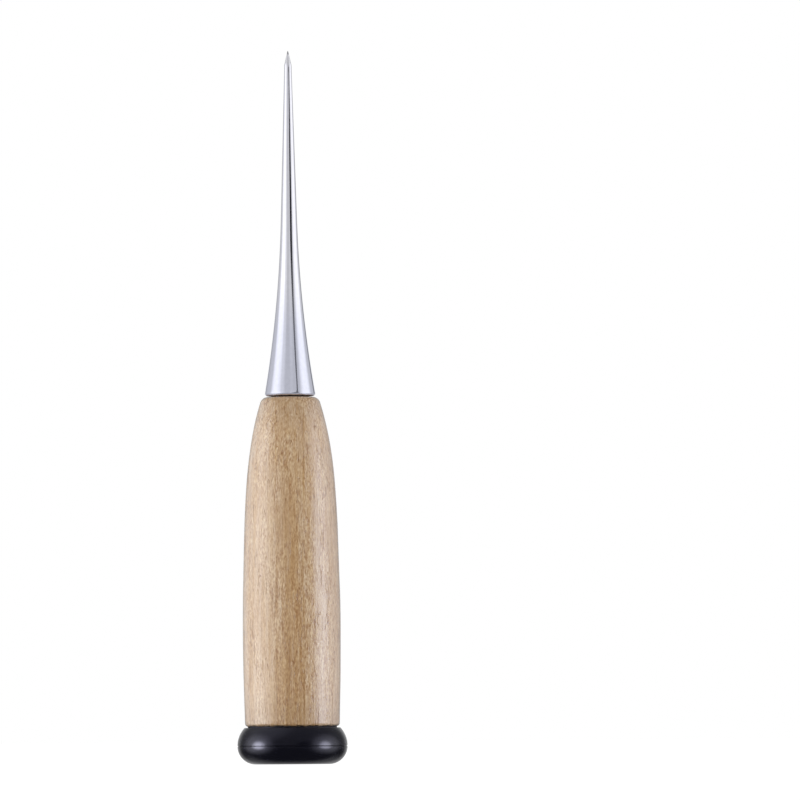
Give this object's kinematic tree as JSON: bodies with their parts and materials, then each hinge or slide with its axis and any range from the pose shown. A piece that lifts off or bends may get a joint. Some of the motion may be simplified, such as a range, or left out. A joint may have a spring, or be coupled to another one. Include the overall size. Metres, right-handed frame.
{
  "type": "scratch awl",
  "caption": "Hand awl: tapered polished steel spike with a flared base, turned beech handle and a black moulded striking cap.",
  "frame": {"origin": "centre of the striking cap's flat face", "axes": "+Z along the tool's axis from the cap to the point; +X and +Y complete the frame and are alike, because every piece is turned about Z"},
  "size_m": [0.0254, 0.0254, 0.165],
  "materials": {
    "polished_steel": "bright plated polish, slightly soft reflections",
    "beech": "satin clear lacquer over pale beech with fine brown flecks",
    "black_plastic": "semi-gloss moulded black",
    "epoxy": "cured clear amber resin"
  },
  "bodies": {
    "root": {"blade": "polished_steel", "handle": "beech", "striking_cap": "black_plastic", "tang_adhesive": "epoxy", "stem_adhesive": "epoxy"}
  },
  "joints": []
}
